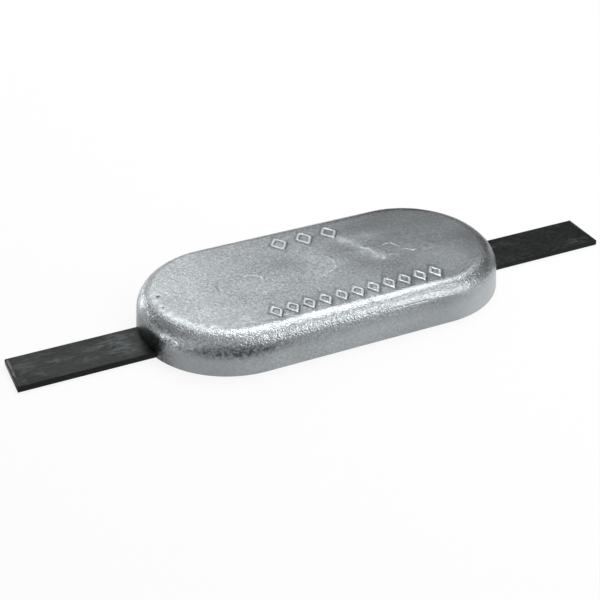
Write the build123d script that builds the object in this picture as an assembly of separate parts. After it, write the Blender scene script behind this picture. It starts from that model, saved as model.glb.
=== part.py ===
from build123d import *
import os
from math import cos, hypot, radians, tan

# Weld-on hull anode: a zinc slab cast round one flat steel bar. The bar runs
# right through the slab, flush with its flat back, and stands out at both ends,
# where it is welded to the hull. The slab's moulded face is up: its walls lean
# in by the mould's draft, and a broad round joins them to the flat top, which
# carries two rows of raised lozenges.
#
# The origin is the middle of the slab's back. X runs along the bar, Y across
# the slab and Z out of the back, towards the moulded face. Millimetres, degrees.

# ---- Zinc slab ----
slab_length = 310.0
slab_width = 152.0
slab_height = 32.5
end_flat = 4.0  # straight stretch in the middle of each end, between its two corners
side_draft = 4.5  # lean of the walls
top_edge_radius = 16.0

# ---- Steel bar ----
bar_width = 40.0
bar_thickness = 5.0
tail_length = 104.0  # bar standing out beyond each end of the slab
bar_offset = -3.0  # the bar lies this far to one side of the slab's centre line

# ---- Raised lozenges on the top ----
small_mark_width = 11.5
small_mark_height = 18.0
small_mark_pitch = 14.0
small_mark_count = 11
small_row_margin = 1.6  # from the row to the front edge of the flat top
small_row_shift = 9.0  # from the slab's middle to the row's middle, along X

large_mark_width = 15.0
large_mark_height = 21.0
large_mark_pitch = 23.0
large_mark_count = 3
large_row_margin = 3.6  # from the row to the back edge of the flat top
large_row_shift = 5.5

mark_stroke = 2.6  # width of a lozenge's rim at its foot
mark_relief = 1.0  # how far a rim stands out of the top
mark_draft = 20.0  # lean of a rim's sides
mark_root = 1.0  # how deep a rim is carried into the slab, so that the two fuse

# ---- Worked out from the sizes above ----
end_radius = (slab_width - end_flat) / 2
bar_length = slab_length + 2 * tail_length
# The flat top begins this far in from the foot of the wall, at the middle of the
# top round, which touches both the leaning wall and the top.
draft_angle = radians(side_draft)
top_inset = (slab_height - top_edge_radius) * tan(draft_angle) + top_edge_radius / cos(draft_angle)
flat_half_width = slab_width / 2 - top_inset


def drafted_slab():
    """The slab as it leaves its mould: leaning walls and a broad round on top."""
    plan = RectangleRounded(slab_length, slab_width, end_radius)
    blank = extrude(plan, amount=slab_height, taper=side_draft)
    top_edges = blank.faces().sort_by(Axis.Z)[-1].edges()
    return fillet(top_edges, top_edge_radius)


def lozenge(width, height):
    """A flat diamond, centred on the origin."""
    corners = [(width / 2, 0), (0, height / 2), (-width / 2, 0), (0, -height / 2)]
    return Polygon(*corners, align=None)


def raised_rim(width, height):
    """One lozenge-shaped rim with leaning sides. Its foot is at z = 0 and its root below."""
    centre_to_side = width * height / 4 / hypot(width / 2, height / 2)
    hole_scale = 1 - mark_stroke / centre_to_side
    outline = lozenge(width, height)
    hole = lozenge(width * hole_scale, height * hole_scale)
    relief = extrude(outline, amount=mark_relief, taper=mark_draft)
    relief -= extrude(hole, amount=mark_relief, taper=-mark_draft)
    root = extrude(outline - hole, amount=-mark_root)
    return relief + root


def mark_row(rim, pitch, count, x_middle, y_middle):
    """Copies of a rim in a straight row along X, standing on the flat top."""
    first_x = x_middle - pitch * (count - 1) / 2
    return [Pos(first_x + pitch * i, y_middle, slab_height) * rim for i in range(count)]


def raised_marks():
    """The row of small lozenges at the front of the top and the large ones at its back."""
    front_y = -(flat_half_width - small_row_margin - small_mark_height / 2)
    back_y = flat_half_width - large_row_margin - large_mark_height / 2
    small_rim = raised_rim(small_mark_width, small_mark_height)
    large_rim = raised_rim(large_mark_width, large_mark_height)
    front_row = mark_row(small_rim, small_mark_pitch, small_mark_count, small_row_shift, front_y)
    back_row = mark_row(large_rim, large_mark_pitch, large_mark_count, large_row_shift, back_y)
    return front_row + back_row


def flat_bar():
    """The steel bar, one straight length sheared square at both ends."""
    on_its_underside = (Align.CENTER, Align.CENTER, Align.MIN)
    bar = Box(bar_length, bar_width, bar_thickness, align=on_its_underside)
    return Pos(0, bar_offset, 0) * bar


def zinc_casting(bar):
    """The slab with its marks, cast tight round the bar."""
    casting = drafted_slab()
    for mark in raised_marks():
        casting += mark
    return casting - bar


steel_bar = flat_bar()
os.makedirs("parts", exist_ok=True)
export_step(steel_bar, "parts/steel_bar.step")
export_step(zinc_casting(steel_bar), "parts/zinc_casting.step")
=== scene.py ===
"""A weld-on hull anode dressed for display: zinc slab, raised marks, steel bar and a small studio."""

import itertools
import math

import bmesh
import bpy
import numpy as np
from bpy.props import FloatProperty, FloatVectorProperty, IntProperty, PointerProperty
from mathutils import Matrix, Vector


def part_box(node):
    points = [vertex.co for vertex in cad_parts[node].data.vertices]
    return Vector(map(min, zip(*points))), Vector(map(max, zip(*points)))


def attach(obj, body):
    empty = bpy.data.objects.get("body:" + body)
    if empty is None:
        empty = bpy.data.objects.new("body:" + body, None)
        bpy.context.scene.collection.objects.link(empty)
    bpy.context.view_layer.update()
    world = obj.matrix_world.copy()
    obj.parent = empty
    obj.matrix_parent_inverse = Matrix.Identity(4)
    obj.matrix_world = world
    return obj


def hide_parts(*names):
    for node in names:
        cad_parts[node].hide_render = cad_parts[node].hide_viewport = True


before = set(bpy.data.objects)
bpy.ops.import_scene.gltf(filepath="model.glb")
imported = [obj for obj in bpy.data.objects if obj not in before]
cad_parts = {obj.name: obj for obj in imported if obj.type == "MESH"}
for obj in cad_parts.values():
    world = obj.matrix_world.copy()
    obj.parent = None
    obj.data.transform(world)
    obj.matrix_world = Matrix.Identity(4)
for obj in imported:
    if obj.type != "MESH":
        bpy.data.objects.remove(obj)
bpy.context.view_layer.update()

bl_info = {
    "name": "Hull anode",
    "version": (1, 0, 0),
    "blender": (4, 5, 0),
    "location": "View3D > Sidebar > Anode",
    "description": "Builds the finished surfaces of a weld-on hull anode round its solid model",
    "category": "Add Mesh",
}

MM = 0.001
_, SLAB_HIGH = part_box("zinc_casting")
BAR_LOW, BAR_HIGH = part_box("steel_bar")


# ---- settings


def length_setting(name, description, millimetres):
    """A size, given in millimetres and kept in metres."""
    return FloatProperty(name=name, description=description, default=millimetres * MM, subtype="DISTANCE")


def angle_setting(name, description, degrees):
    """An angle, given in degrees and kept in radians."""
    return FloatProperty(name=name, description=description, default=math.radians(degrees), subtype="ANGLE")


def colour_setting(name, description, default):
    """A colour: its red, green and blue from 0 to 1."""
    return FloatVectorProperty(name=name, description=description, default=default, size=3, subtype="COLOR")


class SlabSettings(bpy.types.PropertyGroup):
    """Sizes of the zinc slab and the strength of its cast surface."""

    wall_draft: angle_setting("Wall draft", "Lean of the walls", 4.5)
    top_round: length_setting("Top round", "Radius from the walls to the top", 16)
    end_flat: length_setting("End flat", "Straight stretch in the middle of each end", 4)
    foot_round: length_setting("Foot round", "Radius of the edge round the back", 0.7)
    mesh_step: length_setting("Mesh step", "Distance between points of the surface", 1.0)
    peel_height: length_setting("Peel height", "Height of the orange peel on the round", 0.13)
    sag_height: length_setting("Sag height", "Slow waviness of the top", 0.18)
    ripple_height: length_setting("Ripple height", "Unevenness of the open back", 0.5)
    zinc_colour: colour_setting("Zinc colour", "Colour of the bare zinc", (0.375, 0.400, 0.412))


class MarkSettings(bpy.types.PropertyGroup):
    """Sizes of the raised lozenges."""

    relief: length_setting("Relief", "How far a rim stands out", 1.0)
    stroke: length_setting("Stroke", "Width of a rim at its foot", 2.6)
    small_width: length_setting("Small width", "Size of a small lozenge along X", 11.5)
    small_height: length_setting("Small height", "Size of a small lozenge along Y", 18)
    small_pitch: length_setting("Small pitch", "From one small lozenge to the next", 14)
    small_count: IntProperty(name="Small count", description="Lozenges in the front row", default=11)
    small_margin: length_setting("Small margin", "From the front row to the edge of the flat top", 1.6)
    small_shift: length_setting("Small shift", "Middle of the front row, along X", 9)
    large_width: length_setting("Large width", "Size of a large lozenge along X", 15)
    large_height: length_setting("Large height", "Size of a large lozenge along Y", 21)
    large_pitch: length_setting("Large pitch", "From one large lozenge to the next", 23)
    large_count: IntProperty(name="Large count", description="Lozenges in the back row", default=3)
    large_margin: length_setting("Large margin", "From the back row to the edge of the flat top", 3.6)
    large_shift: length_setting("Large shift", "Middle of the back row, along X", 5.5)


class BarSettings(bpy.types.PropertyGroup):
    """Finish of the steel bar. Its sizes come from the solid model."""

    edge_round: length_setting("Edge round", "Radius of the rolled long edges", 0.5)
    shear_round: length_setting("Shear round", "How far the shear drags the top edge of an end", 1.0)
    scale_height: length_setting("Scale height", "Unevenness of the mill scale", 0.05)
    steel_colour: colour_setting("Steel colour", "Colour of the mill scale", (0.0045, 0.0058, 0.0058))


class StudioSettings(bpy.types.PropertyGroup):
    """Camera and floor."""

    azimuth: angle_setting("Azimuth", "Turn of the view from +Y towards +X", 24.93)
    elevation: angle_setting("Elevation", "How far the view looks down", 32.54)
    distance: length_setting("Distance", "From the camera to the point it looks at", 1037)
    target: FloatVectorProperty(
        name="Target",
        description="Point that the camera looks at",
        default=(-0.01582, 0.0066, -0.00106),
        size=3,
        subtype="TRANSLATION",
    )
    lens: FloatProperty(name="Lens", description="Focal length in millimetres", default=75.40)
    floor_colour: colour_setting("Floor colour", "Colour of the floor", (0.92, 0.92, 0.92))
    floor_glow: FloatProperty(
        name="Floor glow",
        description="Share of plain white in the floor, as seen and as mirrored",
        default=0.85,
    )


# ---- numbers on a surface

# Odd numbers that scatter the bits of a lattice point's coordinates and of the seed.
COORDINATE_MIXERS = np.array((374761393, 668265263, 2246822519), np.uint64)
SEED_MIXER = 3266489917
SHIFTS_AND_MIXERS = ((15, 2654435761), (13, 1274126177))

# The random fields: the distance from one lattice point to the next, in millimetres, and the seed.
FIELDS = {
    "coarse peel": (3.0, 3),
    "fine peel": (1.7, 5),
    "sag": (30, 11),
    "broad ripple": (26, 21),
    "fine ripple": (9, 23),
    "weak rims": (7, 31),
    "broad mill scale": (6, 41),
    "fine mill scale": (2.2, 43),
    "broken wear and highlight": (7, 47),
    "dust": (16, 53),
    "coarse skin": (14, 61),
    "highlight specks": (1.5, 67),
    "mark feet": (8, 71),
}


def lattice_values(cells, seed):
    """A fixed random value from -1 to 1 for each lattice point: its three whole numbers and the seed, each
    times an odd number, are added up, and rounds of shift and multiply mix the bits of the sum."""
    whole = cells.astype(np.int64).astype(np.uint64)
    mixed = (whole * COORDINATE_MIXERS).sum(-1) + np.uint64(seed * SEED_MIXER)
    for shift, mixer in SHIFTS_AND_MIXERS:
        mixed = (mixed ^ (mixed >> np.uint64(shift))) * np.uint64(mixer)
    mixed = mixed ^ (mixed >> np.uint64(16))
    return (mixed & np.uint64(0xFFFFFF)).astype(float) / 0x7FFFFF - 1


def random_field(points, name):
    """Smooth random heights from -1 to 1: the values of the 8 lattice points round each place, blended by a
    fifth-degree smooth step."""
    cell, seed = FIELDS[name]
    scaled = points / (cell * MM)
    corner = np.floor(scaled)
    t = scaled - corner
    t = t * t * t * (t * (t * 6 - 15) + 10)
    total = np.zeros(points.shape[:-1])
    for step in itertools.product((0, 1), repeat=3):
        weight = np.where(step, t, 1 - t).prod(-1)
        total += weight * lattice_values(corner + step, seed)
    return total


def smooth_step(x, low, high):
    """0 below low, 1 above high and a cubic blend between."""
    t = np.clip((x - low) / (high - low), 0, 1)
    return t * t * (3 - 2 * t)


def bell(off, half_width):
    """1 in the middle and less on both sides: e to the power of minus the square of off in half-widths."""
    return np.exp(-np.square(off / half_width))


# ---- meshes

WELD_DISTANCE = 1e-6


def grid_faces(rows, columns, first):
    """Four-sided faces that join each row of points to the next. The points are numbered from first on."""
    index = first + np.arange(rows * columns).reshape(rows, columns)
    return np.stack([index[:-1, :-1], index[:-1, 1:], index[1:, 1:], index[1:, :-1]], -1).reshape(-1, 4)


def mesh_object(name, grids, masks):
    """One object from several grids of points, each (rows, columns, 3). Points that meet are welded, faces
    with no area go, and the rest are turned outwards. masks has a dictionary for each grid: a number for
    each point, by the mask's name."""
    points = np.concatenate([grid.reshape(-1, 3) for grid in grids])
    starts = np.cumsum([0] + [grid.shape[0] * grid.shape[1] for grid in grids[:-1]])
    faces = np.concatenate([grid_faces(*grid.shape[:2], start) for grid, start in zip(grids, starts)])
    mesh = bpy.data.meshes.new(name)
    mesh.from_pydata(points.tolist(), [], faces.tolist())
    for mask_name in masks[0]:
        values = np.concatenate([part[mask_name].ravel() for part in masks])
        layer = mesh.attributes.new(mask_name, "FLOAT", "POINT")
        layer.data.foreach_set("value", values.astype(np.float32))
    shell = bmesh.new()
    shell.from_mesh(mesh)
    bmesh.ops.remove_doubles(shell, verts=shell.verts, dist=WELD_DISTANCE)
    bmesh.ops.dissolve_degenerate(shell, edges=shell.edges, dist=WELD_DISTANCE)
    bmesh.ops.recalc_face_normals(shell, faces=shell.faces)
    shell.to_mesh(mesh)
    shell.free()
    mesh.shade_smooth()
    made = bpy.data.objects.new(name, mesh)
    bpy.context.scene.collection.objects.link(made)
    return made


# ---- the slab's form

END_COLUMNS = (18, 6, 12)  # over the bar at each end: front corner, flat middle, back corner
FOOT_ROWS = 4  # up the foot's round, and again from there to the level of the bar's top
WALL_SPACING = 1.3  # rows of the wall above the bar, in mesh steps
TOP_SPACING = 1.1  # rows of the flat top, in mesh steps
BACK_ROWS = 10  # from the foot of each long side to the bar
RIPPLE_FADE = 5 * MM
SAME_PLACE = 1e-7


def slab_sizes(settings):
    """The slab's sizes as plain numbers, from the solid model and the settings."""
    draft = settings.wall_draft
    half_length = SLAB_HIGH.x + BAR_HIGH.z * math.tan(draft)
    half_width = SLAB_HIGH.y
    height = SLAB_HIGH.z - bpy.context.scene.anode_marks.relief
    radius = half_width - settings.end_flat / 2
    top_inset = (height - settings.top_round) * math.tan(draft) + settings.top_round / math.cos(draft)
    return {
        "draft": draft,
        "height": height,
        "radius": radius,
        "round": settings.top_round,
        "top_inset": top_inset,
        "centre_x": half_length - radius,
        "centre_y": half_width - radius,
        "flat_half_width": half_width - top_inset,
    }


def arc_columns(centre, start, stop, count):
    """Columns round one corner: the corner's centre, repeated, and outward directions from start to stop."""
    angles = np.linspace(start, stop, count)
    return np.tile(centre, (count, 1)), np.stack([np.cos(angles), np.sin(angles)], 1)


def line_columns(start, stop, direction, count):
    """Columns along one straight stretch: centres from start to stop, all facing one way."""
    t = np.linspace(0, 1, count)[:, None]
    return np.array(start) * (1 - t) + np.array(stop) * t, np.tile(direction, (count, 1))


def plan_columns(size, step):
    """The outline as four runs of columns: front, right end, back and left end. Each column has a centre and
    a direction, and the wall's foot is the slab's end radius away from the centre. The runs meet where the
    bar's sides cross the outline, and the two long runs have equally many columns."""
    cx, cy, r = size["centre_x"], size["centre_y"], size["radius"]
    front_angle = math.asin((-BAR_LOW.y - cy) / r)
    back_angle = math.asin((BAR_HIGH.y - cy) / r)
    along = round(2 * cx / step)
    corner = round(r * math.pi / 2 / step)
    front_corner, flat, back_corner = END_COLUMNS

    def joined(*runs):
        """Puts runs together and leaves out each column whose foot is where the one before has its own."""
        centres = np.concatenate([c for c, _ in runs])
        directions = np.concatenate([d for _, d in runs])
        keep = np.ones(len(centres), bool)
        foot = centres + r * directions
        keep[1:] = np.linalg.norm(np.diff(foot, axis=0), axis=1) > SAME_PLACE
        return centres[keep], directions[keep]

    front = joined(
        arc_columns((-cx, -cy), math.pi + front_angle, 1.5 * math.pi, corner),
        line_columns((-cx, -cy), (cx, -cy), (0, -1), along),
        arc_columns((cx, -cy), 1.5 * math.pi, 2 * math.pi - front_angle, corner),
    )
    back = joined(
        arc_columns((cx, cy), back_angle, 0.5 * math.pi, corner),
        line_columns((cx, cy), (-cx, cy), (0, 1), along),
        arc_columns((-cx, cy), 0.5 * math.pi, math.pi - back_angle, corner),
    )
    right = joined(
        arc_columns((cx, -cy), -front_angle, 0, front_corner),
        line_columns((cx, -cy), (cx, cy), (1, 0), flat),
        arc_columns((cx, cy), 0, back_angle, back_corner),
    )
    left = joined(
        arc_columns((-cx, cy), math.pi - back_angle, math.pi, back_corner),
        line_columns((-cx, cy), (-cx, -cy), (-1, 0), flat),
        arc_columns((-cx, -cy), math.pi, math.pi + front_angle, front_corner),
    )
    return front, right, back, left


def profile_rows(size, foot_round, step):
    """The wall's section from the foot to the edge of the flat top: inset from the outline, height, and the
    lean of the surface, which is the draft on the wall and a right angle on the top."""
    draft, r = size["draft"], size["round"]
    foot = np.linspace(0, math.pi / 2, FOOT_ROWS)[:-1]
    foot_z = foot_round * (1 - np.cos(foot))
    foot_inset = foot_round * (1 - np.sin(foot))
    tangent_z = size["height"] - r + r * math.sin(draft)
    bar_top = BAR_HIGH.z
    upper_rows = round((tangent_z - bar_top) / step / WALL_SPACING)
    wall_z = np.concatenate([
        np.linspace(foot_round, bar_top, FOOT_ROWS),
        np.linspace(bar_top, tangent_z, upper_rows)[1:],
    ])
    turn = np.linspace(draft, math.pi / 2, round(r * math.pi / 2 / step))[1:]
    inset = np.concatenate([foot_inset, wall_z * math.tan(draft), size["top_inset"] - r * np.cos(turn)])
    z = np.concatenate([foot_z, wall_z, size["height"] - r + r * np.sin(turn)])
    lean = np.concatenate([np.full(len(foot_z) + len(wall_z), draft), turn])
    return inset, z, lean


def moulded_grid(columns, profile, over_bar, size, step):
    """One run of the moulded face in its true form: points, normals and leans. Each row of the wall and the
    round is the outline moved in by that row's inset. The flat top goes on straight from the last row to the
    nearest point of the slab's middle line. Over the bar, what would lie lower than the bar's top is drawn
    together at that level."""
    centre, direction = columns
    inset, z, lean = profile
    if over_bar:
        inset = np.where(z < BAR_HIGH.z, BAR_HIGH.z * math.tan(size["draft"]), inset)
        z = np.maximum(z, BAR_HIGH.z)
    plan = centre[None] + (size["radius"] - inset)[:, None, None] * direction[None]
    rows_and_columns = plan.shape[:2]
    wall = np.concatenate([plan, np.broadcast_to(z[:, None, None], (*rows_and_columns, 1))], -1)
    leaning = np.broadcast_to(lean[:, None], rows_and_columns)
    normal = np.concatenate([np.cos(leaning)[..., None] * direction[None], np.sin(leaning)[..., None]], -1)
    middle = np.stack([centre[:, 0], np.zeros(len(centre)), np.full(len(centre), size["height"])], 1)
    t = np.linspace(0, 1, round(size["flat_half_width"] / step / TOP_SPACING))[1:, None, None]
    top = wall[-1][None] * (1 - t) + middle[None] * t
    points = np.concatenate([wall, top])
    normals = np.concatenate([normal, np.broadcast_to([0.0, 0.0, 1.0], top.shape)])
    leans = np.concatenate([leaning, np.full(top.shape[:2], math.pi / 2)])
    return points, normals, leans


def back_grids(edges, ripple_height):
    """The open back on both sides of the bar, and the channel, from the foot of the four runs. Each long
    side's foot is joined straight across to the bar's side, with a ripple of two random fields that fades
    towards both, and the channel's floor lies on the bar."""
    front, right, back, left = edges
    grids, sides = [], []
    for foot, bar_side in ((front, BAR_LOW.y), (back, BAR_HIGH.y)):
        edge = foot.copy()
        edge[1:-1, 1] = bar_side
        edge[1:-1, 2] = 0
        t = np.linspace(0, 1, BACK_ROWS)[:, None, None]
        flat = foot[None] * (1 - t) + edge[None] * t
        from_foot = np.linalg.norm(flat - foot[None], axis=-1)
        from_bar = np.linalg.norm(flat - edge[None], axis=-1)
        fade = smooth_step(np.minimum(from_foot, from_bar), 0, RIPPLE_FADE)
        ripple = 0.5 + 0.3 * random_field(flat, "broad ripple") + 0.2 * random_field(flat, "fine ripple")
        flat[..., 2] += ripple_height * ripple * fade
        grids.append(flat)
        sides.append(edge)
    front_low, back_low = sides[0], sides[1][::-1]
    front_high, back_high = front_low.copy(), back_low.copy()
    front_high[:, 2] = back_high[:, 2] = BAR_HIGH.z
    front_high[[0, -1]] = left[-1], right[0]
    back_high[[0, -1]] = left[0], right[-1]
    t = np.linspace(0, 1, len(right))[:, None, None]
    floor = front_high[None] * (1 - t) + back_high[None] * t
    return grids + [
        np.stack([front_low, front_high]),
        floor,
        np.stack([back_high, back_low]),
        np.stack([floor[:, -1], right]),
        np.stack([floor[:, 0], left[::-1]]),
    ]


# ---- the cast surface

# Lines left on the top where two fronts of metal met: height and half-width, then the points that the line
# passes through, in millimetres on the top. A height below zero is a groove.
FLOW_LINES = (
    (0.12, 0.6, ((2, 15), (8, 14), (11.5, 8.5), (12.5, 1), (10.5, -6), (5, -11), (0, -12), (-4, -9))),
    (0.15, 0.6, ((58, 6.5), (64.5, 9.5), (69, 7.5), (71.5, 2.5), (72, -3))),
    (0.15, 0.6, ((74, -4), (76.5, -7), (79.5, -10), (85.5, -8))),
    (0.11, 0.6, ((53, -7), (57.5, -7.5), (62, -8), (66, -13))),
    (0.12, 0.6, ((-65, 7.5), (-61, 10.5), (-57.5, 9), (-53.5, 7), (-51, 2.5), (-52, -4))),
    (-0.22, 0.7, ((-83.5, 9), (-88.5, 5), (-89.5, 0.5), (-89, -5))),
    (-0.10, 0.8, ((-102.5, -28.5), (-96, -28.5), (-88.5, -30.5), (-80, -30))),
    (-0.14, 0.8, ((-43, -9.5), (-37.5, -10.5))),
    (-0.12, 0.9, ((-113, 47), (-106, 43.5))),
    (-0.08, 1.6, ((-100, -54), (-82, -55.5), (-60, -56), (-30, -56.5))),
)

# Pale streaks of coarser skin: strength and half-width, then the points that the streak passes through. The
# two broad ones, in the middle and at the right, are painted light that lifts the top's tone, and the last,
# along the inner edge of the left end's round, is a painted highlight.
PALE_STREAKS = (
    (0.55, 5.5, ((30, 35), (36, 24), (42, 12), (47, 2), (50, -8))),
    (0.90, 2.4, ((40, 14), (46, 9), (50, -1))),
    (0.90, 2.4, ((48, -5), (52, -11))),
    (0.46, 15.0, ((-2, 22), (4, 2), (-8, -8))),
    (0.23, 22.0, ((88, 16), (92, -8))),
    (0.35, 3.5, ((57, 28), (61, 25))),
    (0.30, 4.0, ((117, -12), (123, -14))),
    (0.85, 3.5, ((-140, 14), (-141, 2), (-139, -10), (-134, -24), (-124, -38), (-110, -50))),
)

# Gas pits: middle, radius and depth, in millimetres.
PITS = (
    (-69.5, 44, 0.9, 0.30),
    (-136, 10.5, 1.9, 0.40),
    (-138, -6, 1.2, 0.35),
    (-124, 31, 0.9, 0.20),
    (-74.5, 8.5, 0.9, 0.20),
    (-4, -20, 0.7, 0.20),
)

# Painted highlights on the round, where the brightest reflections fall: strength, how speckled, then the
# place and the radius in millimetres.
PAINTED_HIGHLIGHTS = (
    (1.45, 0.3, -148, 14, 27.3, 6.2),
    (1.00, 2.5, -146.5, -31, 22, 6.0),
    (0.60, 3.0, -140.5, -42, 22, 5.0),
    (0.25, 3.0, -133, -50, 23, 5.0),
)

# How much painted shade the wall gets, darkest at the left end, where it stands in for the dark reflection of
# the bar and the floor, and how much painted light it gets towards the right, between two places along X in
# millimetres.
WALL_SHADE_AT_LEFT = 1.0
WALL_SHADE_CHANGES = ((-0.32, -154, -142), (-0.58, -140, -60), (-0.10, 60, 110))
WALL_HIGHLIGHT_CHANGE = (0.52, 70, 112)

# Leans of the surface, in radians, between which it stops counting as wall, starts to count as near the top,
# and counts as the flat top itself.
WALL_LEANS = (0.1, 0.6)
NEAR_TOP_LEANS = (0.9, 1.3)
TOP_LEANS = (1.25, 1.5)

MARK_FOOT_SHADE_HALF_WIDTH = 1.3 * MM  # of the painted shade at the foot of a raised rim

ZINC_MASKS = ("round", "drawn", "pale", "pit", "wall", "high", "grime", "coarse", "crease")

# Pale smears on the bar: strength, middle, half-length and half-width, in millimetres.
SMEARS = (
    (0.60, -222, -1, 9, 3.0),
    (0.50, -239, -15, 5, 3.0),
    (0.30, -253, -14, 4, 4.0),
    (0.25, -250, 6, 6, 5.0),
    (0.45, -188, 3, 15, 4.0),
    (0.50, -173, 0, 11, 14.0),
    (0.20, -248, -2, 10, 13.0),
    (0.55, -170, -8, 12, 5.0),
    (0.50, -170, 8, 11, 5.0),
    (0.25, -232, 11, 9, 2.5),
    (0.30, -204, -10, 12, 3.0),
    (0.25, 175, 5, 10, 4.0),
    (0.30, 243, -16, 9, 2.5),
)


def distance_to_line(x, y, points):
    """Distance to the nearest stretch of a bent line: each point is dropped onto each stretch, kept between
    its ends. Also returns how far along the line, from 0 to 1, that nearest place is."""
    nearest = np.full(x.shape, np.inf)
    along = np.zeros(x.shape)
    stretches = len(points) - 1
    for number, (start, stop) in enumerate(zip(points[:-1], points[1:])):
        ax, ay = start[0] * MM, start[1] * MM
        ux, uy = stop[0] * MM - ax, stop[1] * MM - ay
        t = np.clip(((x - ax) * ux + (y - ay) * uy) / (ux * ux + uy * uy), 0, 1)
        gap = np.hypot(x - ax - t * ux, y - ay - t * uy)
        closer = gap < nearest
        nearest = np.where(closer, gap, nearest)
        along = np.where(closer, (number + t) / stretches, along)
    return nearest, along


def flow_lines(x, y):
    """Height of the flow lines: a bell across each line, lower towards its two ends."""
    height = np.zeros(x.shape)
    for peak, half_width, points in FLOW_LINES:
        gap, along = distance_to_line(x, y, points)
        fade = smooth_step(along, -0.1, 0.25) * (1 - smooth_step(along, 0.75, 1.1))
        height += peak * MM * bell(gap, half_width * MM) * fade
    return height


def pale_streaks(x, y):
    """Mask of the pale skin, from 0 to 1: the highest of all the streaks' bells, and the crests of the flow
    lines, paler as a painted highlight on those ridges. Some of the streaks are painted light as well."""
    mask = np.zeros(x.shape)
    for strength, half_width, points in PALE_STREAKS:
        gap, _ = distance_to_line(x, y, points)
        mask = np.maximum(mask, strength * bell(gap, half_width * MM))
    full_height = 0.13 * MM
    return np.maximum(mask, np.clip(flow_lines(x, y) / full_height, 0, 1))


def pits(x, y):
    """Depth of the pits: a bell in each."""
    depth = np.zeros(x.shape)
    for middle_x, middle_y, radius, deepest in PITS:
        off = np.hypot(x - middle_x * MM, y - middle_y * MM)
        depth += deepest * MM * bell(off, radius * MM)
    return depth


def smears(x, y):
    """Mask of the pale smears on the bar: the sum of a bell in each, longer along the bar than across it."""
    mask = np.zeros(x.shape)
    for strength, middle_x, middle_y, half_length, half_width in SMEARS:
        along = bell(x - middle_x * MM, half_length * MM)
        mask += strength * along * bell(y - middle_y * MM, half_width * MM)
    return mask


def grime(points):
    """Mask of the painted shade where the bar leaves the slab, standing in for the bar's dark reflection and
    the shade beside it: a bell round the bar's edge at each end, in the distance beyond the bar's sides and
    above its top. It is half as strong at the right end."""
    x, y, z = points[..., 0], points[..., 1], points[..., 2]
    reach = 17.5 * MM
    starts, full = SLAB_HIGH.x - 22 * MM, SLAB_HIGH.x - 6 * MM
    beside = np.maximum(np.maximum(BAR_LOW.y - y, y - BAR_HIGH.y), 0)
    above = np.maximum(z - BAR_HIGH.z, 0)
    strength = np.where(x < 0, 1.0, 0.5)
    return bell(np.hypot(beside, above), reach) * smooth_step(np.abs(x), starts, full) * strength


def painted_highlights(points):
    """Mask of the painted highlights on the round: the sum of a bell round each one's middle, broken into
    specks."""
    specks = random_field(points, "highlight specks")
    mask = np.zeros(points.shape[:-1])
    for strength, speckled, *middle, radius in PAINTED_HIGHLIGHTS:
        distance = np.linalg.norm(points - np.array(middle) * MM, axis=-1)
        mask += strength * (1 + speckled * specks) * bell(distance, radius * MM)
    return np.maximum(mask, 0)


def foot_dark_reflection(points):
    """Mask of the painted shade along the foot of the round, a dark reflection of the low room and floor in
    front: a bell in height, weak all the way round and strongest in a bell round the front left corner."""
    x, y, z = points[..., 0], points[..., 1], points[..., 2]
    level, half_width = 19.4 * MM, 4.1 * MM
    corner_x, corner_reach = -102 * MM, 38 * MM
    weakest = 0.20
    at_corner = bell(x - corner_x, corner_reach) * smooth_step(-y, 20 * MM, 55 * MM)
    return bell(z - level, half_width) * (weakest + (1 - weakest) * at_corner)


def rim_dark_reflection(points):
    """Mask of the painted shade on the far side of the round, a dark reflection of the low room behind: a
    bell in the distance in from the outline, along the right of the back and beside the bar at the right end."""
    x, y = points[..., 0], points[..., 1]
    beyond = np.maximum(np.abs(x) - (SLAB_HIGH.x - SLAB_HIGH.y), 0)
    inside = SLAB_HIGH.y - np.hypot(beyond, y)
    at_back = smooth_step(x, 55 * MM, 90 * MM) * smooth_step(y, 35 * MM, 50 * MM)
    beside_bar = smooth_step(x, 120 * MM, 135 * MM) * bell(y + 14 * MM, 20 * MM)
    mask = np.zeros(x.shape)
    for where, strength, middle, half_width in ((at_back, 0.90, 12.8, 4.2), (beside_bar, 0.85, 8.5, 4.5)):
        mask = np.maximum(mask, strength * where * bell(inside - middle * MM, half_width * MM))
    return mask


def mark_rows(marks, size):
    """Width, height, pitch, count, middle and Y of each row of raised lozenges."""
    front_y = -(size["flat_half_width"] - marks.small_margin - marks.small_height / 2)
    back_y = size["flat_half_width"] - marks.large_margin - marks.large_height / 2
    names = ("width", "height", "pitch", "count", "shift")
    rows = (("small", front_y), ("large", back_y))
    return [[getattr(marks, f"{row}_{name}") for name in names] + [y] for row, y in rows]


def centre_to_side(width, height):
    """From a lozenge's middle to its sides: the product of its half-diagonals over a side's length."""
    return width / 2 * height / 2 / math.hypot(width / 2, height / 2)


def mark_foot_shade(points, marks, size):
    """Mask of the painted shade at the foot of the raised rims: a bell in the distance from the nearest
    lozenge's outline, which is where the two offsets, each divided by its half-diagonal, add up to one."""
    x, y = points[..., 0], points[..., 1]
    mask = np.zeros(x.shape)
    for width, height, pitch, count, middle, row_y in mark_rows(marks, size):
        first = middle - pitch * (count - 1) / 2
        nearest = np.clip(np.round((x - first) / pitch), 0, count - 1)
        dx, dy = x - first - pitch * nearest, y - row_y
        off = np.abs(dx) / (width / 2) + np.abs(dy) / (height / 2)
        gap = (off - 1) * centre_to_side(width, height)
        mask = np.maximum(mask, bell(np.abs(gap) - marks.stroke / 2, MARK_FOOT_SHADE_HALF_WIDTH))
    return np.clip(mask * (0.50 + 0.20 * random_field(points, "mark feet")), 0, 1)


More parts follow.
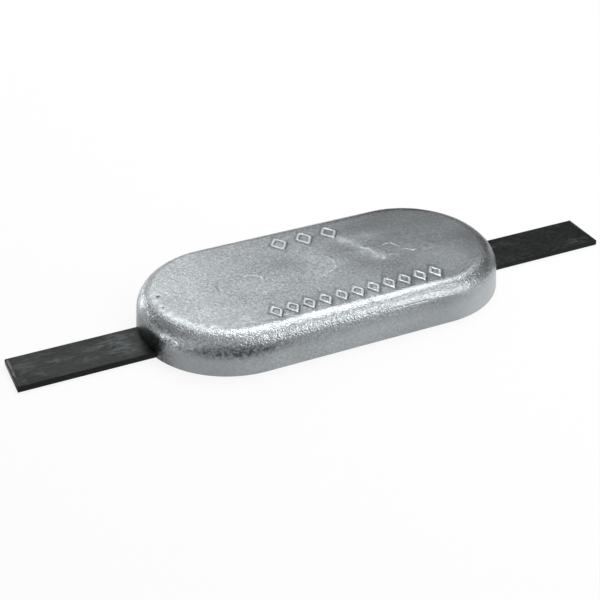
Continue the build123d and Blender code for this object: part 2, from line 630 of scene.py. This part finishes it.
def roundness(lean):
    """0 on the wall and the flat top and 1 between: 1.25 times the sine of twice the lean, at most 1."""
    return np.clip(1.25 * np.sin(2 * np.clip(lean, 0, math.pi / 2)), 0, 1)


def smoother_stretch(x):
    """1 along the stretch right of the middle where the skin is smoother and drawn out lengthways."""
    return smooth_step(x, 15 * MM, 50 * MM) * (1 - smooth_step(x, 80 * MM, 102 * MM))


def skin_roundness(points, lean):
    """Where the cast skin is rough: all of the round, and less so along the smoother stretch."""
    return roundness(lean) * (1 - 0.55 * smoother_stretch(points[..., 0]))


def coarse_skin(points, lean):
    """Mask of the coarse skin: fading along the top to the right, full on the round, weaker on the wall."""
    along = 1 - smooth_step(points[..., 0], 0, 90 * MM)
    patchy = 0.85 + 0.25 * random_field(points, "coarse skin")
    on_wall = smooth_step(0.35 - lean, 0, 0.25)
    return np.maximum((0.52 + 0.58 * along) * patchy, skin_roundness(points, lean)) * (1 - 0.55 * on_wall)


def cast_relief(points, lean, settings):
    """How far the cast skin stands off the true form: peel from two random fields, strongest on the round, a
    slow sag on the top, flow lines and pits."""
    on_top = smooth_step(lean, *TOP_LEANS)
    peel = 0.55 * random_field(points, "coarse peel") + 0.45 * random_field(points, "fine peel")
    peel *= settings.peel_height * (0.10 + 0.90 * skin_roundness(points, lean) + 0.12 * on_top)
    sag = settings.sag_height * random_field(points, "sag") * on_top
    x, y = points[..., 0], points[..., 1]
    return peel + sag + (flow_lines(x, y) - pits(x, y)) * on_top


def zinc_masks(shape, **given):
    """All the masks that the zinc's material reads, as arrays of one shape. Those not given are 0."""
    return {name: np.broadcast_to(given.get(name, 0.0), shape) for name in ZINC_MASKS}


def ramp(x, change, start, stop):
    """A change along X that is made by a smooth step between two places in millimetres."""
    return change * smooth_step(x, start * MM, stop * MM)


def skin_masks(points, lean, marks, size):
    """The masks of the moulded face, worked out from the place. Many count only within some leans."""
    x, y = points[..., 0], points[..., 1]
    on_wall = 1 - smooth_step(lean, *WALL_LEANS)
    near_top = smooth_step(lean, *NEAR_TOP_LEANS)
    wall_shade = WALL_SHADE_AT_LEFT + sum(ramp(x, *change) for change in WALL_SHADE_CHANGES)
    sunk = pits(x, y) - np.minimum(flow_lines(x, y), 0)
    # Painted dark reflections along the foot of the round and on its far rim.
    dark_reflections = np.maximum(foot_dark_reflection(points), rim_dark_reflection(points))
    return zinc_masks(
        x.shape,
        round=skin_roundness(points, lean),
        drawn=roundness(lean) * (0.25 + 0.75 * smoother_stretch(x)),
        pale=pale_streaks(x, y) * near_top,
        # Painted shade in the pits and grooves.
        pit=smooth_step(sunk, 0.06 * MM, 0.35 * MM) * near_top,
        # Painted shade on the wall, darkest at the left end; painted highlights on the wall towards the right
        # and in spots on the round.
        wall=on_wall * wall_shade,
        high=on_wall * ramp(x, *WALL_HIGHLIGHT_CHANGE) + painted_highlights(points),
        # Painted shade by the bar, and the painted dark reflections along the foot of the round and on its
        # far rim.
        grime=np.maximum(grime(points), dark_reflections),
        coarse=coarse_skin(points, lean),
        # Painted shade round the feet of the raised rims.
        crease=mark_foot_shade(points, marks, size) * smooth_step(lean, *TOP_LEANS),
    )


# ---- materials

# Colours of the bar where it is dusty and where its edges are bright, partly worn and partly a painted
# highlight on the sheared edge.
DUST_COLOUR = (0.083, 0.090, 0.090)
WEAR_AND_HIGHLIGHT_COLOUR = (0.155, 0.160, 0.158)


def new_group(name, inputs, outputs):
    """An empty node group with the given sockets: a vector where a default is None, a number otherwise. Also
    returns what comes in and what goes out, as seen from inside."""
    group = bpy.data.node_groups.new(name, "ShaderNodeTree")
    for socket, default in inputs:
        kind = "NodeSocketVector" if default is None else "NodeSocketFloat"
        made = group.interface.new_socket(socket, in_out="INPUT", socket_type=kind)
        if default is not None:
            made.default_value = default
    for socket in outputs:
        group.interface.new_socket(socket, in_out="OUTPUT", socket_type="NodeSocketFloat")
    return group, group.nodes.new("NodeGroupInput").outputs, group.nodes.new("NodeGroupOutput").inputs


def feed(tree, socket, value):
    """Gives an input a number, a colour or another node's output."""
    if isinstance(value, bpy.types.NodeSocket):
        tree.links.new(value, socket)
    else:
        socket.default_value = value


def math_node(tree, operation, *values):
    """One arithmetic node. Each value is a number or a socket."""
    node = tree.nodes.new("ShaderNodeMath")
    node.operation = operation
    for socket, value in zip(node.inputs, values):
        feed(tree, socket, value)
    return node.outputs[0]


def times(tree, first, second):
    """The product of two numbers or sockets."""
    return math_node(tree, "MULTIPLY", first, second)


def weighted_sum(tree, parts):
    """The sum of several sockets, each times its own number."""
    total = 0.0
    for socket, weight in parts:
        total = math_node(tree, "ADD", total, times(tree, socket, weight))
    return total


def noise_node(tree, vector, scale, detail):
    """One noise texture. The scale is a number or a socket."""
    node = tree.nodes.new("ShaderNodeTexNoise")
    node.inputs["Detail"].default_value = detail
    tree.links.new(vector, node.inputs["Vector"])
    feed(tree, node.inputs["Scale"], scale)
    return node.outputs["Fac"]


def range_node(tree, value, low, high, to_low=0.0, to_high=1.0):
    """Maps a range onto another, without going past its ends."""
    node = tree.nodes.new("ShaderNodeMapRange")
    tree.links.new(value, node.inputs["Value"])
    for name, number in (("From Min", low), ("From Max", high), ("To Min", to_low), ("To Max", to_high)):
        node.inputs[name].default_value = number
    return node.outputs["Result"]


def grain_group():
    """Fine grain: coarse and fine noise added up. Height is the relief and Speckle masks its high spots."""
    inputs = (("Position", None), ("Scale", 900.0))
    group, entry, leave = new_group("fine grain", inputs, ("Height", "Speckle"))
    coarse = noise_node(group, entry["Position"], entry["Scale"], 2)
    fine = noise_node(group, entry["Position"], times(group, entry["Scale"], 2.7), 3)
    height = weighted_sum(group, ((coarse, 0.65), (fine, 0.35)))
    group.links.new(height, leave["Height"])
    group.links.new(range_node(group, height, 0.5, 0.68), leave["Speckle"])
    return group


def smudge_group():
    """Smudges drawn out along X: noise in stretched coordinates, with a broad and a streaky part."""
    inputs = (("Position", None), ("Scale", 30.0), ("Stretch", 4.0))
    group, entry, leave = new_group("drawn smudges", inputs, ("Broad", "Streaks"))
    split = group.nodes.new("ShaderNodeSeparateXYZ")
    join = group.nodes.new("ShaderNodeCombineXYZ")
    group.links.new(entry["Position"], split.inputs[0])
    group.links.new(math_node(group, "DIVIDE", split.outputs["X"], entry["Stretch"]), join.inputs["X"])
    group.links.new(split.outputs["Y"], join.inputs["Y"])
    group.links.new(split.outputs["Z"], join.inputs["Z"])
    broad = noise_node(group, join.outputs[0], entry["Scale"], 3)
    streaks = noise_node(group, join.outputs[0], times(group, entry["Scale"], 6.0), 4)
    group.links.new(range_node(group, broad, 0.36, 0.66), leave["Broad"])
    group.links.new(range_node(group, streaks, 0.42, 0.64), leave["Streaks"])
    return group


GROUP_MAKERS = {"fine grain": grain_group, "drawn smudges": smudge_group}


def place_group(tree, name, position, **values):
    """The outputs of a shared group in a material, with the material's own values. The group is built the
    first time."""
    node = tree.nodes.new("ShaderNodeGroup")
    node.node_tree = bpy.data.node_groups.get(name) or GROUP_MAKERS[name]()
    tree.links.new(position, node.inputs["Position"])
    for socket, value in values.items():
        node.inputs[socket].default_value = value
    return node.outputs


def mask_node(tree, name):
    """A mask stored on the mesh."""
    node = tree.nodes.new("ShaderNodeAttribute")
    node.attribute_name = name
    return node.outputs["Fac"]


def colour_socket(sockets, name):
    """The colour socket of that name. A Mix node also has number and vector sockets of the same name."""
    return next(socket for socket in sockets if socket.name == name and socket.type == "RGBA")


def mix_colour(tree, factor, first, second):
    """Blends two colours. Each is a colour or a socket."""
    node = tree.nodes.new("ShaderNodeMix")
    node.data_type = "RGBA"
    tree.links.new(factor, node.inputs["Factor"])
    for name, value in (("A", first), ("B", second)):
        feed(tree, colour_socket(node.inputs, name), (*value, 1) if isinstance(value, tuple) else value)
    return colour_socket(node.outputs, "Result")


def lay_over(tree, tone, layers):
    """Blends colours over a tone one after another. Each layer is a mask, its strength and its colour."""
    for mask, strength, colour in layers:
        tone = mix_colour(tree, times(tree, mask, strength), tone, colour)
    return tone


def shade(colour, factor):
    """A colour made lighter or darker."""
    return tuple(channel * factor for channel in colour)


def new_material(name):
    """A material, its tree, the inputs of its shader and its position socket."""
    material = bpy.data.materials.new(name)
    material.use_nodes = True
    tree = material.node_tree
    position = tree.nodes.new("ShaderNodeTexCoord").outputs["Object"]
    return material, tree, tree.nodes["Principled BSDF"].inputs, position


def add_bump(tree, shader, height):
    """Feeds a height in millimetres to the shader's normal."""
    bump = tree.nodes.new("ShaderNodeBump")
    bump.inputs["Strength"].default_value = 1.0
    bump.inputs["Distance"].default_value = 1 * MM
    tree.links.new(height, bump.inputs["Height"])
    tree.links.new(bump.outputs["Normal"], shader["Normal"])


def zinc_material(colour):
    """Bare cast zinc: a cool grey metal, satin where the mould was smooth and coarser on the round and in the
    pale streaks. Painted shade darkens the walls, the places by the bar, the feet of the rims and the pits;
    painted dark reflections darken the foot of the round and the far rim; painted highlights brighten spots
    on the round, the crests of the rims and the wall at the right; and the open back is duller and lighter."""
    material, tree, shader, position = new_material("cast zinc")
    grain = place_group(tree, "fine grain", position, Scale=750.0)
    smudge = place_group(tree, "drawn smudges", position, Scale=42.0, Stretch=2.5)
    drawn = place_group(tree, "drawn smudges", position, Scale=55.0, Stretch=14.0)
    mask = {name: mask_node(tree, name) for name in ZINC_MASKS}
    cloudy = range_node(tree, noise_node(tree, position, 370.0, 2), 0.36, 0.64)
    frosty = range_node(tree, noise_node(tree, position, 260.0, 3), 0.40, 0.60, 0.10, 1.3)
    broken = range_node(tree, noise_node(tree, position, 420.0, 2), 0.35, 0.62, 0.45, 1.30)
    tone = mix_colour(tree, smudge["Broad"], shade(colour, 0.72), shade(colour, 0.90))
    tone = lay_over(tree, tone, (
        (times(tree, cloudy, mask["coarse"]), 0.95, shade(colour, 1.22)),
        (smudge["Streaks"], 0.30, shade(colour, 0.80)),
        (times(tree, grain["Speckle"], mask["coarse"]), 0.95, shade(colour, 1.90)),
        (times(tree, frosty, mask["pale"]), 0.95, shade(colour, 1.75)),
        # From here the layers paint light and shade: painted shade on the walls, darkest at the left end;
        # painted shade and dark reflections by the bar, along the foot of the round and on the far rim;
        # painted highlights; painted shade at the feet of the rims; and painted shade in the pits and
        # grooves.
        (mask["wall"], 1.0, shade(colour, 0.62)),
        (times(tree, broken, mask["grime"]), 0.95, shade(colour, 0.18)),
        (mask["high"], 0.62, shade(colour, 1.75)),
        (mask["crease"], 0.95, shade(colour, 0.40)),
        (mask["pit"], 1.0, shade(colour, 0.20)),
    ))
    satin = range_node(tree, smudge["Broad"], 0.0, 1.0, 0.285, 0.34)
    roughness = weighted_sum(tree, ((satin, 1.0), (mask["pale"], 0.10)))
    peel = noise_node(tree, position, 680.0, 1)
    height = weighted_sum(tree, (
        (grain["Height"], 0.26),
        (times(tree, peel, mask["round"]), 0.49),
        (times(tree, drawn["Streaks"], mask["drawn"]), 0.24),
        (times(tree, peel, mask["pale"]), 0.20),
    ))
    shader["Metallic"].default_value = 1.0
    tree.links.new(tone, shader["Base Color"])
    tree.links.new(roughness, shader["Roughness"])
    add_bump(tree, shader, height)
    return material


def steel_material(colour):
    """Hot-rolled flat bar under its mill scale: blue-black, with paler smudges along the bar, edges bright
    partly from wear and partly from a painted highlight, and painted shade on its sides."""
    material, tree, shader, position = new_material("mill scale")
    grain = place_group(tree, "fine grain", position, Scale=520.0)
    smudge = place_group(tree, "drawn smudges", position, Scale=60.0, Stretch=2.0)
    dust = mask_node(tree, "dust")
    patchy = range_node(tree, smudge["Broad"], 0.0, 1.0, 0.15, 1.15)
    tone = mix_colour(tree, times(tree, patchy, dust), shade(colour, 0.5), shade(colour, 6.0))
    tone = lay_over(tree, tone, (
        (times(tree, smudge["Streaks"], dust), 0.85, DUST_COLOUR),
        (grain["Speckle"], 0.25, shade(colour, 5.0)),
        # Painted shade on the bar's sides.
        (mask_node(tree, "side"), 0.7, shade(colour, 0.5)),
        # A bright line inside each end: partly wear, partly a painted highlight.
        (mask_node(tree, "wear_and_highlight"), 1.0, WEAR_AND_HIGHLIGHT_COLOUR),
    ))
    roughness = range_node(tree, smudge["Broad"], 0.0, 1.0, 0.42, 0.30)
    shader["Metallic"].default_value = 0.0
    shader["IOR"].default_value = 1.26
    tree.links.new(tone, shader["Base Color"])
    tree.links.new(roughness, shader["Roughness"])
    add_bump(tree, shader, times(tree, grain["Height"], 0.09))
    return material


# ---- the raised marks

RIM_AROUND = 97  # points round a rim
RIM_ACROSS = 15  # points across a rim
RIM_FLARE = 0.5 * MM  # how much further than its stroke a rim runs out on each side
RIM_POWER = 2 / 1.14  # of cosine and sine: 1 would make an ellipse and 2 a lozenge with sharp corners
CREST_POWER = 0.9  # of the cosine across a rim
RIM_SINK = 0.05 * MM  # how far a rim's edge lies under the slab's skin
RIM_ROOT = 1 * MM  # how far its underside lies under its edge


def rim_grid(place, width, height, marks, slab, size):
    """One rim as a closed grid, and how high each point stands, from 0 to 1. Round it, the half-width and
    the half-height go with cosine and sine to a power a little under two, which makes a lozenge with rounded
    corners. Across it the height is a cosine to a power a little under one, and the lozenge grows in
    proportion."""
    around = np.linspace(0, 2 * math.pi, RIM_AROUND)
    reach = marks.stroke / 2 + RIM_FLARE
    across = np.linspace(-1, 1, RIM_ACROSS)
    side = centre_to_side(width, height)
    scale = (side - marks.stroke / 2 + across * reach) / side
    turn = np.stack([np.cos(around), np.sin(around)], 1)
    outline = (width / 2, height / 2) * np.sign(turn) * np.abs(turn) ** RIM_POWER
    plan = outline[None] * scale[:, None, None] + place
    points = np.concatenate([plan, np.full((*plan.shape[:2], 1), size["height"])], -1)
    skin = cast_relief(points, np.full(plan.shape[:2], math.pi / 2), slab)
    rise = np.cos(np.abs(across) * math.pi / 2)[:, None] ** CREST_POWER
    weak = 0.88 + 0.12 * random_field(points, "weak rims")
    points[..., 2] += skin + marks.relief * rise * weak - RIM_SINK
    points[:, -1] = points[:, 0]
    under = points[[0, -1]].copy()
    under[..., 2] -= RIM_ROOT
    high = np.pad(np.broadcast_to(rise, plan.shape[:2]), ((1, 2), (0, 0)))
    return np.concatenate([under[:1], points, under[1:], under[:1]]), high


def rim_masks(high):
    """The masks of a rim: frosted and brighter towards its crest, where a painted highlight is laid, and
    painted shade in the fold along its foot.
    """
    return zinc_masks(
        high.shape,
        round=0.4 * high,
        pale=0.5 * high,
        # Painted highlight on the crest and painted shade along the foot.
        high=smooth_step(high, 0.30, 0.75),
        crease=smooth_step(high, 0, 0.06) * (1 - smooth_step(high, 0.12, 0.45)),
        coarse=0.8,
    )


# ---- the bar

CORNER_POINTS = 5
SIDE_SPACING = 2 * MM
END_STATIONS = (0, 0.12, 0.3, 0.55, 0.9, 1.3, 1.7, 2.1, 2.5, 3.0)  # millimetres in from each end
EVEN_STATIONS = 301
EVEN_STATIONS_START = 3.6 * MM
DRAGGED_DOWN = 0.8  # share of the shear's quarter circle that the top edge follows


def bar_section(radius):
    """The bar's cross-section as a closed line: quarter circles, and evenly spaced points between them."""
    low, high = BAR_LOW.y + radius, BAR_HIGH.y - radius
    top = BAR_HIGH.z - radius
    corners = ((high, top), (low, top), (low, radius), (high, radius))
    section = []
    for quarter, corner in enumerate(corners):
        turn = np.linspace(quarter, quarter + 1, CORNER_POINTS) * math.pi / 2
        outward = radius * np.stack([np.cos(turn), np.sin(turn)], 1)
        start = corner + outward[-1]
        stop = corners[(quarter + 1) % 4] + outward[-1]
        pieces = max(2, round(float(np.linalg.norm(stop - start)) / SIDE_SPACING))
        t = np.linspace(0, 1, pieces + 1)[1:-1, None]
        section += [corner + outward, start * (1 - t) + stop * t]
    return np.concatenate(section + [section[0][:1]])


def bar_grid(radius):
    """The bar in its true form: the cross-section at stations that lie close together near both ends."""
    section = bar_section(radius)
    near = np.array(END_STATIONS) * MM
    even = np.linspace(BAR_LOW.x + EVEN_STATIONS_START, BAR_HIGH.x - EVEN_STATIONS_START, EVEN_STATIONS)
    stations = np.concatenate([BAR_LOW.x + near, even, BAR_HIGH.x - near[::-1]])
    points = np.empty((len(stations), len(section), 3))
    points[..., 0] = stations[:, None]
    points[..., 1:] = section[None]
    return points


def bar_relief(points, from_end, from_edge, settings):
    """How far the bar's top stands off the true form. The shear drags each end's edge down along a quarter
    circle, and two random fields make the mill scale uneven away from the long edges."""
    drag = settings.shear_round
    fall = drag - np.sqrt(np.maximum(drag ** 2 - np.maximum(drag - from_end, 0) ** 2, 0))
    uneven = 0.6 * random_field(points, "broad mill scale") + 0.4 * random_field(points, "fine mill scale")
    off_edge = smooth_step(from_edge, 0.2 * MM, 2 * MM)
    return (uneven - 1) * settings.scale_height * off_edge - DRAGGED_DOWN * fall


def bar_masks(points, from_end, from_edge, on_top):
    """The masks of the bar's skin: a broken bright line just inside each end, partly wear and partly a
    painted highlight on the sheared edge, much brighter at the left one; painted shade on the two sides; and
    dust in a slow random field under the pale smears."""
    x, y = points[..., 0], points[..., 1]
    at_left = x < 0
    line_middle = 1.7 * MM
    line = 1 - smooth_step(np.abs(from_end - line_middle), 0.3 * MM, 1.3 * MM)
    broken = smooth_step(random_field(points, "broken wear and highlight"), -1.2, 0.2)
    across = smooth_step(y, -14 * MM, -4 * MM) * (1 - smooth_step(y, 13 * MM, 17 * MM))
    return {
        "wear_and_highlight": line * on_top * broken * across * np.where(at_left, 0.9, 0.15),
        # Painted shade on the bar's sides and ends.
        "side": 1 - smooth_step(from_edge, 0, 0.3 * MM),
        "dust": np.where(at_left, 0.10, 0.20) + 0.12 * random_field(points, "dust") + 2.0 * smears(x, y),
    }


# ---- operators

RUNS_OVER_BAR = (1, 3)  # the right and the left end, among the four runs of columns
# Above the bar's top, the cast relief is nil up to the first height and full from the second on.
STILL_BAND = (0.5 * MM, 3 * MM)


def finish_piece(piece, node, material):
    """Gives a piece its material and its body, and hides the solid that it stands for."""
    piece.data.materials.append(material)
    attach(piece, "root")
    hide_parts(node)


class ANODE_OT_cast_slab(bpy.types.Operator):
    """Builds the zinc slab: moulded face, walls, open back and the channel that holds the bar."""

    bl_idname = "anode.cast_slab"
    bl_label = "Cast slab"

    def execute(self, context):
        settings = context.scene.anode_slab
        size = slab_sizes(settings)
        step = settings.mesh_step
        profile = profile_rows(size, settings.foot_round, step)
        still, full = (BAR_HIGH.z + height for height in STILL_BAND)
        grids, edges, masks = [], [], []
        for number, columns in enumerate(plan_columns(size, step)):
            points, normals, lean = moulded_grid(columns, profile, number in RUNS_OVER_BAR, size, step)
            relief = cast_relief(points, lean, settings) * smooth_step(points[..., 2], still, full)
            grids.append(points + normals * relief[..., None])
            edges.append(grids[-1][0])
            masks.append(skin_masks(points, lean, context.scene.anode_marks, size))
        for grid in back_grids(edges, settings.ripple_height):
            grids.append(grid)
            # The open back takes the painted shade beside the bar as well.
            masks.append(zinc_masks(grid.shape[:2], round=0.15, pale=0.6, grime=grime(grid), coarse=0.8))
        slab = mesh_object("cast_slab", grids, masks)
        finish_piece(slab, "zinc_casting", zinc_material(settings.zinc_colour))
        return {"FINISHED"}


class ANODE_OT_raised_marks(bpy.types.Operator):
    """Builds the rows of raised lozenges on the top."""

    bl_idname = "anode.raised_marks"
    bl_label = "Raised marks"

    def execute(self, context):
        marks, slab = context.scene.anode_marks, context.scene.anode_slab
        size = slab_sizes(slab)
        grids, masks = [], []
        for width, height, pitch, count, middle, y in mark_rows(marks, size):
            for number in range(count):
                x = middle + pitch * (number - (count - 1) / 2)
                grid, high = rim_grid((x, y), width, height, marks, slab, size)
                grids.append(grid)
                masks.append(rim_masks(high))
        piece = mesh_object("raised_marks", grids, masks)
        finish_piece(piece, "zinc_casting", bpy.data.materials["cast zinc"])
        return {"FINISHED"}


class ANODE_OT_flat_bar(bpy.types.Operator):
    """Builds the steel bar with its rolled edges and sheared ends."""

    bl_idname = "anode.flat_bar"
    bl_label = "Flat bar"

    def execute(self, context):
        settings = context.scene.anode_bar
        points = bar_grid(settings.edge_round)
        x, y, z = points[..., 0], points[..., 1], points[..., 2]
        from_end = np.minimum(x - BAR_LOW.x, BAR_HIGH.x - x)
        from_edge = np.minimum(np.minimum(y - BAR_LOW.y, BAR_HIGH.y - y), BAR_HIGH.z)
        on_top = smooth_step(z, BAR_HIGH.z / 2, BAR_HIGH.z)
        z += bar_relief(points, from_end, from_edge, settings) * on_top
        skin = bar_masks(points, from_end, from_edge, on_top)
        # Each end is closed by a row of points that all lie in the middle of the section.
        caps = points[[0, -1]].copy()
        caps[..., 1:] = (BAR_LOW.y + BAR_HIGH.y) / 2, BAR_HIGH.z / 2
        both_ends = ((1, 1), (0, 0))
        masks = {
            "wear_and_highlight": np.pad(skin["wear_and_highlight"], both_ends),
            "side": np.pad(skin["side"], both_ends, constant_values=1),
            "dust": np.pad(skin["dust"], both_ends, "edge"),
        }
        piece = mesh_object("flat_bar", [np.concatenate([caps[:1], points, caps[1:]])], [masks])
        finish_piece(piece, "steel_bar", steel_material(settings.steel_colour))
        return {"FINISHED"}


# Soft boxes: name, azimuth and elevation in degrees, distance, width and height in metres, and brightness.
SOFT_BOXES = (
    ("overhead box", 46, 65, 1.5, 0.86, 0.98, 3.05),
    ("front box", 138, 39.5, 1.5, 0.76, 0.94, 2.55),
    ("back box", -2, 35, 1.6, 0.90, 0.98, 1.25),
)

# The room: its level, and patches as azimuth and elevation in degrees, sharpness and strength.
ROOM_LEVEL = 0.15
ROOM_PATCHES = (
    (-20, 3, 120, 8.60),
    (-80, -1, 190, 14.0),
    (-112, 22, 10, 0.60),
    (-140, 60, 8, 0.25),
    (180, 50, 8, 0.35),
    (130, 2, 30, 1.80),
    (40, 32, 20, 0.07),
    (-40, 75, 8, 0.35),
)

# How far the floor reaches, in metres: less far to the left and the back than to the right and the front.
FLOOR_NEAR, FLOOR_FAR = 4.0, 20.0
FLOOR_LEVEL = -0.2 * MM


def aim(azimuth, elevation):
    """The unit vector at an angle turned from +Y towards +X and an angle above the floor, both in radians."""
    level = math.cos(elevation)
    return Vector((math.sin(azimuth) * level, math.cos(azimuth) * level, math.sin(elevation)))


class ANODE_OT_studio(bpy.types.Operator):
    """Sets up the floor, the soft lights, the surroundings and the camera."""

    bl_idname = "anode.studio"
    bl_label = "Studio"

    def execute(self, context):
        scene = context.scene
        self.floor(scene)
        self.surroundings(scene)
        self.lights(scene)
        self.camera(scene)
        scene.view_settings.view_transform = "Standard"
        return {"FINISHED"}

    def floor(self, scene):
        """A wide pale floor just under the anode. It glows a little for the camera and for mirrored rays, so
        that it stays near white, and takes the anode's shadow."""
        settings = scene.anode_studio
        near, far = FLOOR_NEAR, FLOOR_FAR
        corners = [(-near, -far), (far, -far), (far, near), (-near, near)]
        mesh = bpy.data.meshes.new("floor")
        mesh.from_pydata([(x, y, FLOOR_LEVEL) for x, y in corners], [], [(0, 1, 2, 3)])
        floor = bpy.data.objects.new("floor", mesh)
        scene.collection.objects.link(floor)
        material = bpy.data.materials.new("floor")
        material.use_nodes = True
        tree = material.node_tree
        tree.nodes.remove(tree.nodes["Principled BSDF"])
        diffuse = tree.nodes.new("ShaderNodeBsdfDiffuse")
        diffuse.inputs["Color"].default_value = (*settings.floor_colour, 1)
        glow = tree.nodes.new("ShaderNodeEmission")
        path = tree.nodes.new("ShaderNodeLightPath").outputs
        seen = math_node(tree, "MAXIMUM", path["Is Camera Ray"], path["Is Glossy Ray"])
        seen = math_node(tree, "MAXIMUM", seen, path["Is Transmission Ray"])
        share = times(tree, seen, settings.floor_glow)
        mix = tree.nodes.new("ShaderNodeMixShader")
        for socket, value in zip(mix.inputs, (share, diffuse.outputs[0], glow.outputs[0])):
            tree.links.new(value, socket)
        tree.links.new(mix.outputs[0], tree.nodes["Material Output"].inputs["Surface"])
        mesh.materials.append(material)

    def surroundings(self, scene):
        """A plain room: its brightness is a low level plus soft patches. Each patch falls off round one
        direction as e to the power of its sharpness times the cosine of the angle off, less one."""
        world = bpy.data.worlds.new("studio room")
        scene.world = world
        world.use_nodes = True
        tree = world.node_tree
        direction = tree.nodes.new("ShaderNodeTexCoord").outputs["Generated"]
        level = ROOM_LEVEL
        for azimuth, elevation, sharpness, strength in ROOM_PATCHES:
            cosine = tree.nodes.new("ShaderNodeVectorMath")
            cosine.operation = "DOT_PRODUCT"
            cosine.inputs[1].default_value = aim(math.radians(azimuth), math.radians(elevation))
            tree.links.new(direction, cosine.inputs[0])
            off = math_node(tree, "SUBTRACT", cosine.outputs["Value"], 1.0)
            patch = math_node(tree, "EXPONENT", times(tree, off, sharpness))
            level = math_node(tree, "ADD", times(tree, patch, strength), level)
        tree.links.new(level, tree.nodes["Background"].inputs["Color"])

    def lights(self, scene):
        """The soft boxes. A box's watts are four times its area times its brightness."""
        for name, azimuth, elevation, distance, width, height, brightness in SOFT_BOXES:
            place = distance * aim(math.radians(azimuth), math.radians(elevation))
            lamp = bpy.data.lights.new(name, "AREA")
            lamp.shape = "RECTANGLE"
            lamp.size = width
            lamp.size_y = height
            lamp.energy = 4 * width * height * brightness
            box = bpy.data.objects.new(name, lamp)
            box.location = place
            box.rotation_euler = place.to_track_quat("Z", "Y").to_euler()
            scene.collection.objects.link(box)

    def camera(self, scene):
        """A long lens that looks down on the anode from its front left."""
        settings = scene.anode_studio
        forward = aim(settings.azimuth, -settings.elevation)
        lens = bpy.data.cameras.new("camera")
        lens.lens = settings.lens
        camera = bpy.data.objects.new("camera", lens)
        camera.location = Vector(settings.target) - settings.distance * forward
        camera.rotation_euler = forward.to_track_quat("-Z", "Y").to_euler()
        scene.collection.objects.link(camera)
        scene.camera = camera


class ANODE_PT_panel(bpy.types.Panel):
    """Lists the steps that build the anode."""

    bl_idname = "ANODE_PT_panel"
    bl_label = "Hull anode"
    bl_space_type = "VIEW_3D"
    bl_region_type = "UI"
    bl_category = "Anode"

    def draw(self, context):
        for operator in OPERATORS:
            self.layout.operator(operator.bl_idname)


OPERATORS = (ANODE_OT_cast_slab, ANODE_OT_raised_marks, ANODE_OT_flat_bar, ANODE_OT_studio)
SETTINGS = (
    ("anode_slab", SlabSettings),
    ("anode_marks", MarkSettings),
    ("anode_bar", BarSettings),
    ("anode_studio", StudioSettings),
)


def register():
    """Registers the classes and gives every scene the settings."""
    for _, group in SETTINGS:
        bpy.utils.register_class(group)
    for operator in OPERATORS:
        bpy.utils.register_class(operator)
    bpy.utils.register_class(ANODE_PT_panel)
    for name, group in SETTINGS:
        setattr(bpy.types.Scene, name, PointerProperty(type=group))


def unregister():
    """Takes back what register did, in the opposite order."""
    for name, _ in SETTINGS:
        delattr(bpy.types.Scene, name)
    bpy.utils.unregister_class(ANODE_PT_panel)
    for operator in reversed(OPERATORS):
        bpy.utils.unregister_class(operator)
    for _, group in reversed(SETTINGS):
        bpy.utils.unregister_class(group)


def main():
    """Builds the anode and its studio."""
    register()
    bpy.ops.anode.cast_slab()
    bpy.ops.anode.raised_marks()
    bpy.ops.anode.flat_bar()
    bpy.ops.anode.studio()


if __name__ == "__main__":
    main()
